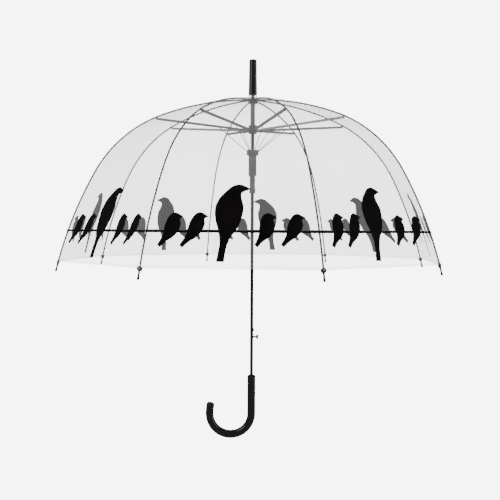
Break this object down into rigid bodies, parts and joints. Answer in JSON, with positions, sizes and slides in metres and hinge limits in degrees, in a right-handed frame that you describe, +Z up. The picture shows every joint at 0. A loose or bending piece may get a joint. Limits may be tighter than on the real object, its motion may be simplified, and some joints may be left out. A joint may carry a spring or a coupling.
{
  "type": "clear bubble umbrella",
  "caption": "Stick umbrella with a deep clear dome canopy, black printed birds on a wire, black crook handle and a release knob; the frame folds.",
  "frame": {"origin": "middle of the straight part of the handle, on the shaft's axis", "axes": "+Z up along the shaft, the crook opens towards -X, the release knob faces +X"},
  "size_m": [0.7974, 0.7974, 0.8234],
  "materials": {
    "black_plastic": "gloss",
    "black_enamel": "gloss",
    "zinc_steel": "satin",
    "grey_plastic": "satin",
    "clear_plastic": "gloss",
    "clear_film": "gloss"
  },
  "bodies": {
    "shaft": {"shaft_tube": "black_enamel", "stop_sleeve": "grey_plastic", "crown_notch": "grey_plastic", "crown_wire": "zinc_steel", "apex_cap": "clear_plastic", "ferrule": "black_plastic", "crook_handle": "black_plastic"},
    "runner": {"runner_sleeve": "grey_plastic", "runner_ring": "grey_plastic"},
    "runner_head": {"runner_head": "grey_plastic", "drive_spring": "zinc_steel"},
    "trigger": {"trigger_catch": "black_plastic"},
    "rib_1": {"rib_1": "black_enamel", "tip_1": "black_plastic"},
    "stretcher_1": {"stretcher_1": "zinc_steel"},
    "link_1": {"link_1": "zinc_steel"},
    "film_1_left": {"film_1_left": "clear_film"},
    "film_1_right": {"film_1_right": "clear_film"},
    "rib_2": {"rib_2": "black_enamel", "tip_2": "black_plastic"},
    "stretcher_2": {"stretcher_2": "zinc_steel"},
    "link_2": {"link_2": "zinc_steel"},
    "film_2_left": {"film_2_left": "clear_film"},
    "film_2_right": {"film_2_right": "clear_film"},
    "rib_3": {"rib_3": "black_enamel", "tip_3": "black_plastic"},
    "stretcher_3": {"stretcher_3": "zinc_steel"},
    "link_3": {"link_3": "zinc_steel"},
    "film_3_left": {"film_3_left": "clear_film"},
    "film_3_right": {"film_3_right": "clear_film"},
    "rib_4": {"rib_4": "black_enamel", "tip_4": "black_plastic"},
    "stretcher_4": {"stretcher_4": "zinc_steel"},
    "link_4": {"link_4": "zinc_steel"},
    "film_4_left": {"film_4_left": "clear_film"},
    "film_4_right": {"film_4_right": "clear_film"},
    "rib_5": {"rib_5": "black_enamel", "tip_5": "black_plastic"},
    "stretcher_5": {"stretcher_5": "zinc_steel"},
    "link_5": {"link_5": "zinc_steel"},
    "film_5_left": {"film_5_left": "clear_film"},
    "film_5_right": {"film_5_right": "clear_film"},
    "rib_6": {"rib_6": "black_enamel", "tip_6": "black_plastic"},
    "stretcher_6": {"stretcher_6": "zinc_steel"},
    "link_6": {"link_6": "zinc_steel"},
    "film_6_left": {"film_6_left": "clear_film"},
    "film_6_right": {"film_6_right": "clear_film"},
    "rib_7": {"rib_7": "black_enamel", "tip_7": "black_plastic"},
    "stretcher_7": {"stretcher_7": "zinc_steel"},
    "link_7": {"link_7": "zinc_steel"},
    "film_7_left": {"film_7_left": "clear_film"},
    "film_7_right": {"film_7_right": "clear_film"},
    "rib_8": {"rib_8": "black_enamel", "tip_8": "black_plastic"},
    "stretcher_8": {"stretcher_8": "zinc_steel"},
    "link_8": {"link_8": "zinc_steel"},
    "film_8_left": {"film_8_left": "clear_film"},
    "film_8_right": {"film_8_right": "clear_film"}
  },
  "joints": [
    {"name": "runner_slide", "type": "slide", "parent": "shaft", "child": "runner", "axis": [0, 0, 1], "range_m": [-0.25933, 0], "stiffness_N_per_m": 60, "springref_m": 0.15, "deforming": ["drive_spring", "film_1_left", "film_1_right", "film_2_left", "film_2_right", "film_3_left", "film_3_right", "film_4_left", "film_4_right", "film_5_left", "film_5_right", "film_6_left", "film_6_right", "film_7_left", "film_7_right", "film_8_left", "film_8_right"]},
    {"name": "head_slide", "type": "slide", "parent": "shaft", "child": "runner_head", "axis": [0, 0, 1], "range_m": [-0.28854, 0]},
    {"name": "trigger_press", "type": "slide", "parent": "shaft", "child": "trigger", "axis": [1, 0, 0], "range_m": [-0.003, 0], "stiffness_N_per_m": 400, "springref_m": 0.0005},
    {"name": "rib_1_fold", "type": "hinge", "parent": "shaft", "child": "rib_1", "pos_m": [0.00717, 0.00219, 0.63682], "axis": [-0.2924, 0.9563, 0], "range_deg": [0, 46.55]},
    {"name": "stretcher_1_turn", "type": "hinge", "parent": "runner_head", "child": "stretcher_1", "pos_m": [0.0065, 0.00199, 0.5716], "axis": [-0.2924, 0.9563, 0], "range_deg": [-54.75, 0]},
    {"name": "link_1_turn", "type": "hinge", "parent": "runner", "child": "link_1", "pos_m": [0.01004, 0.00307, 0.5242], "axis": [-0.2924, 0.9563, 0], "range_deg": [-28.95, 0]},
    {"name": "film_1_left_pleat", "type": "hinge", "parent": "rib_1", "child": "film_1_left", "pos_m": [0.00717, 0.00219, 0.63682], "axis": [0.7247, 0.2216, -0.6525], "range_deg": [0, 72.55]},
    {"name": "film_1_right_pleat", "type": "hinge", "parent": "rib_1", "child": "film_1_right", "pos_m": [0.00717, 0.00219, 0.63682], "axis": [0.7247, 0.2216, -0.6525], "range_deg": [-72.55, 0]},
    {"name": "rib_2_fold", "type": "hinge", "parent": "shaft", "child": "rib_2", "pos_m": [0.00352, 0.00662, 0.63682], "axis": [-0.8829, 0.4695, 0], "range_deg": [0, 46.55]},
    {"name": "stretcher_2_turn", "type": "hinge", "parent": "runner_head", "child": "stretcher_2", "pos_m": [0.00319, 0.006, 0.5716], "axis": [-0.8829, 0.4695, 0], "range_deg": [-54.75, 0]},
    {"name": "link_2_turn", "type": "hinge", "parent": "runner", "child": "link_2", "pos_m": [0.00493, 0.00927, 0.5242], "axis": [-0.8829, 0.4695, 0], "range_deg": [-28.95, 0]},
    {"name": "film_2_left_pleat", "type": "hinge", "parent": "rib_2", "child": "film_2_left", "pos_m": [0.00352, 0.00662, 0.63682], "axis": [0.3558, 0.6691, -0.6525], "range_deg": [0, 72.55]},
    {"name": "film_2_right_pleat", "type": "hinge", "parent": "rib_2", "child": "film_2_right", "pos_m": [0.00352, 0.00662, 0.63682], "axis": [0.3558, 0.6691, -0.6525], "range_deg": [-72.55, 0]},
    {"name": "rib_3_fold", "type": "hinge", "parent": "shaft", "child": "rib_3", "pos_m": [-0.00219, 0.00717, 0.63682], "axis": [-0.9563, -0.2924, 0], "range_deg": [0, 46.55]},
    {"name": "stretcher_3_turn", "type": "hinge", "parent": "runner_head", "child": "stretcher_3", "pos_m": [-0.00199, 0.0065, 0.5716], "axis": [-0.9563, -0.2924, 0], "range_deg": [-54.75, 0]},
    {"name": "link_3_turn", "type": "hinge", "parent": "runner", "child": "link_3", "pos_m": [-0.00307, 0.01004, 0.5242], "axis": [-0.9563, -0.2924, 0], "range_deg": [-28.95, 0]},
    {"name": "film_3_left_pleat", "type": "hinge", "parent": "rib_3", "child": "film_3_left", "pos_m": [-0.00219, 0.00717, 0.63682], "axis": [-0.2216, 0.7247, -0.6525], "range_deg": [0, 72.55]},
    {"name": "film_3_right_pleat", "type": "hinge", "parent": "rib_3", "child": "film_3_right", "pos_m": [-0.00219, 0.00717, 0.63682], "axis": [-0.2216, 0.7247, -0.6525], "range_deg": [-72.55, 0]},
    {"name": "rib_4_fold", "type": "hinge", "parent": "shaft", "child": "rib_4", "pos_m": [-0.00662, 0.00352, 0.63682], "axis": [-0.4695, -0.8829, 0], "range_deg": [0, 46.55]},
    {"name": "stretcher_4_turn", "type": "hinge", "parent": "runner_head", "child": "stretcher_4", "pos_m": [-0.006, 0.00319, 0.5716], "axis": [-0.4695, -0.8829, 0], "range_deg": [-54.75, 0]},
    {"name": "link_4_turn", "type": "hinge", "parent": "runner", "child": "link_4", "pos_m": [-0.00927, 0.00493, 0.5242], "axis": [-0.4695, -0.8829, 0], "range_deg": [-28.95, 0]},
    {"name": "film_4_left_pleat", "type": "hinge", "parent": "rib_4", "child": "film_4_left", "pos_m": [-0.00662, 0.00352, 0.63682], "axis": [-0.6691, 0.3558, -0.6525], "range_deg": [0, 72.55]},
    {"name": "film_4_right_pleat", "type": "hinge", "parent": "rib_4", "child": "film_4_right", "pos_m": [-0.00662, 0.00352, 0.63682], "axis": [-0.6691, 0.3558, -0.6525], "range_deg": [-72.55, 0]},
    {"name": "rib_5_fold", "type": "hinge", "parent": "shaft", "child": "rib_5", "pos_m": [-0.00717, -0.00219, 0.63682], "axis": [0.2924, -0.9563, 0], "range_deg": [0, 46.55]},
    {"name": "stretcher_5_turn", "type": "hinge", "parent": "runner_head", "child": "stretcher_5", "pos_m": [-0.0065, -0.00199, 0.5716], "axis": [0.2924, -0.9563, 0], "range_deg": [-54.75, 0]},
    {"name": "link_5_turn", "type": "hinge", "parent": "runner", "child": "link_5", "pos_m": [-0.01004, -0.00307, 0.5242], "axis": [0.2924, -0.9563, 0], "range_deg": [-28.95, 0]},
    {"name": "film_5_left_pleat", "type": "hinge", "parent": "rib_5", "child": "film_5_left", "pos_m": [-0.00717, -0.00219, 0.63682], "axis": [-0.7247, -0.2216, -0.6525], "range_deg": [0, 72.55]},
    {"name": "film_5_right_pleat", "type": "hinge", "parent": "rib_5", "child": "film_5_right", "pos_m": [-0.00717, -0.00219, 0.63682], "axis": [-0.7247, -0.2216, -0.6525], "range_deg": [-72.55, 0]},
    {"name": "rib_6_fold", "type": "hinge", "parent": "shaft", "child": "rib_6", "pos_m": [-0.00352, -0.00662, 0.63682], "axis": [0.8829, -0.4695, 0], "range_deg": [0, 46.55]},
    {"name": "stretcher_6_turn", "type": "hinge", "parent": "runner_head", "child": "stretcher_6", "pos_m": [-0.00319, -0.006, 0.5716], "axis": [0.8829, -0.4695, 0], "range_deg": [-54.75, 0]},
    {"name": "link_6_turn", "type": "hinge", "parent": "runner", "child": "link_6", "pos_m": [-0.00493, -0.00927, 0.5242], "axis": [0.8829, -0.4695, 0], "range_deg": [-28.95, 0]},
    {"name": "film_6_left_pleat", "type": "hinge", "parent": "rib_6", "child": "film_6_left", "pos_m": [-0.00352, -0.00662, 0.63682], "axis": [-0.3558, -0.6691, -0.6525], "range_deg": [0, 72.55]},
    {"name": "film_6_right_pleat", "type": "hinge", "parent": "rib_6", "child": "film_6_right", "pos_m": [-0.00352, -0.00662, 0.63682], "axis": [-0.3558, -0.6691, -0.6525], "range_deg": [-72.55, 0]},
    {"name": "rib_7_fold", "type": "hinge", "parent": "shaft", "child": "rib_7", "pos_m": [0.00219, -0.00717, 0.63682], "axis": [0.9563, 0.2924, 0], "range_deg": [0, 46.55]},
    {"name": "stretcher_7_turn", "type": "hinge", "parent": "runner_head", "child": "stretcher_7", "pos_m": [0.00199, -0.0065, 0.5716], "axis": [0.9563, 0.2924, 0], "range_deg": [-54.75, 0]},
    {"name": "link_7_turn", "type": "hinge", "parent": "runner", "child": "link_7", "pos_m": [0.00307, -0.01004, 0.5242], "axis": [0.9563, 0.2924, 0], "range_deg": [-28.95, 0]},
    {"name": "film_7_left_pleat", "type": "hinge", "parent": "rib_7", "child": "film_7_left", "pos_m": [0.00219, -0.00717, 0.63682], "axis": [0.2216, -0.7247, -0.6525], "range_deg": [0, 72.55]},
    {"name": "film_7_right_pleat", "type": "hinge", "parent": "rib_7", "child": "film_7_right", "pos_m": [0.00219, -0.00717, 0.63682], "axis": [0.2216, -0.7247, -0.6525], "range_deg": [-72.55, 0]},
    {"name": "rib_8_fold", "type": "hinge", "parent": "shaft", "child": "rib_8", "pos_m": [0.00662, -0.00352, 0.63682], "axis": [0.4695, 0.8829, 0], "range_deg": [0, 46.55]},
    {"name": "stretcher_8_turn", "type": "hinge", "parent": "runner_head", "child": "stretcher_8", "pos_m": [0.006, -0.00319, 0.5716], "axis": [0.4695, 0.8829, 0], "range_deg": [-54.75, 0]},
    {"name": "link_8_turn", "type": "hinge", "parent": "runner", "child": "link_8", "pos_m": [0.00927, -0.00493, 0.5242], "axis": [0.4695, 0.8829, 0], "range_deg": [-28.95, 0]},
    {"name": "film_8_left_pleat", "type": "hinge", "parent": "rib_8", "child": "film_8_left", "pos_m": [0.00662, -0.00352, 0.63682], "axis": [0.6691, -0.3558, -0.6525], "range_deg": [0, 72.55]},
    {"name": "film_8_right_pleat", "type": "hinge", "parent": "rib_8", "child": "film_8_right", "pos_m": [0.00662, -0.00352, 0.63682], "axis": [0.6691, -0.3558, -0.6525], "range_deg": [-72.55, 0]}
  ],
  "couplings": [
    {"joint": "head_slide", "follows": "runner_slide", "ratio": 1.1122},
    {"joint": "rib_1_fold", "follows": "runner_slide", "rad_per_m": -3.1296},
    {"joint": "stretcher_1_turn", "follows": "runner_slide", "rad_per_m": 3.6814},
    {"joint": "link_1_turn", "follows": "runner_slide", "rad_per_m": 1.9455},
    {"joint": "film_1_left_pleat", "follows": "runner_slide", "rad_per_m": -4.8796},
    {"joint": "film_1_right_pleat", "follows": "runner_slide", "rad_per_m": 4.8796},
    {"joint": "rib_2_fold", "follows": "runner_slide", "rad_per_m": -3.1296},
    {"joint": "stretcher_2_turn", "follows": "runner_slide", "rad_per_m": 3.6814},
    {"joint": "link_2_turn", "follows": "runner_slide", "rad_per_m": 1.9455},
    {"joint": "film_2_left_pleat", "follows": "runner_slide", "rad_per_m": -4.8796},
    {"joint": "film_2_right_pleat", "follows": "runner_slide", "rad_per_m": 4.8796},
    {"joint": "rib_3_fold", "follows": "runner_slide", "rad_per_m": -3.1296},
    {"joint": "stretcher_3_turn", "follows": "runner_slide", "rad_per_m": 3.6814},
    {"joint": "link_3_turn", "follows": "runner_slide", "rad_per_m": 1.9455},
    {"joint": "film_3_left_pleat", "follows": "runner_slide", "rad_per_m": -4.8796},
    {"joint": "film_3_right_pleat", "follows": "runner_slide", "rad_per_m": 4.8796},
    {"joint": "rib_4_fold", "follows": "runner_slide", "rad_per_m": -3.1296},
    {"joint": "stretcher_4_turn", "follows": "runner_slide", "rad_per_m": 3.6814},
    {"joint": "link_4_turn", "follows": "runner_slide", "rad_per_m": 1.9455},
    {"joint": "film_4_left_pleat", "follows": "runner_slide", "rad_per_m": -4.8796},
    {"joint": "film_4_right_pleat", "follows": "runner_slide", "rad_per_m": 4.8796},
    {"joint": "rib_5_fold", "follows": "runner_slide", "rad_per_m": -3.1296},
    {"joint": "stretcher_5_turn", "follows": "runner_slide", "rad_per_m": 3.6814},
    {"joint": "link_5_turn", "follows": "runner_slide", "rad_per_m": 1.9455},
    {"joint": "film_5_left_pleat", "follows": "runner_slide", "rad_per_m": -4.8796},
    {"joint": "film_5_right_pleat", "follows": "runner_slide", "rad_per_m": 4.8796},
    {"joint": "rib_6_fold", "follows": "runner_slide", "rad_per_m": -3.1296},
    {"joint": "stretcher_6_turn", "follows": "runner_slide", "rad_per_m": 3.6814},
    {"joint": "link_6_turn", "follows": "runner_slide", "rad_per_m": 1.9455},
    {"joint": "film_6_left_pleat", "follows": "runner_slide", "rad_per_m": -4.8796},
    {"joint": "film_6_right_pleat", "follows": "runner_slide", "rad_per_m": 4.8796},
    {"joint": "rib_7_fold", "follows": "runner_slide", "rad_per_m": -3.1296},
    {"joint": "stretcher_7_turn", "follows": "runner_slide", "rad_per_m": 3.6814},
    {"joint": "link_7_turn", "follows": "runner_slide", "rad_per_m": 1.9455},
    {"joint": "film_7_left_pleat", "follows": "runner_slide", "rad_per_m": -4.8796},
    {"joint": "film_7_right_pleat", "follows": "runner_slide", "rad_per_m": 4.8796},
    {"joint": "rib_8_fold", "follows": "runner_slide", "rad_per_m": -3.1296},
    {"joint": "stretcher_8_turn", "follows": "runner_slide", "rad_per_m": 3.6814},
    {"joint": "link_8_turn", "follows": "runner_slide", "rad_per_m": 1.9455},
    {"joint": "film_8_left_pleat", "follows": "runner_slide", "rad_per_m": -4.8796},
    {"joint": "film_8_right_pleat", "follows": "runner_slide", "rad_per_m": 4.8796}
  ]
}
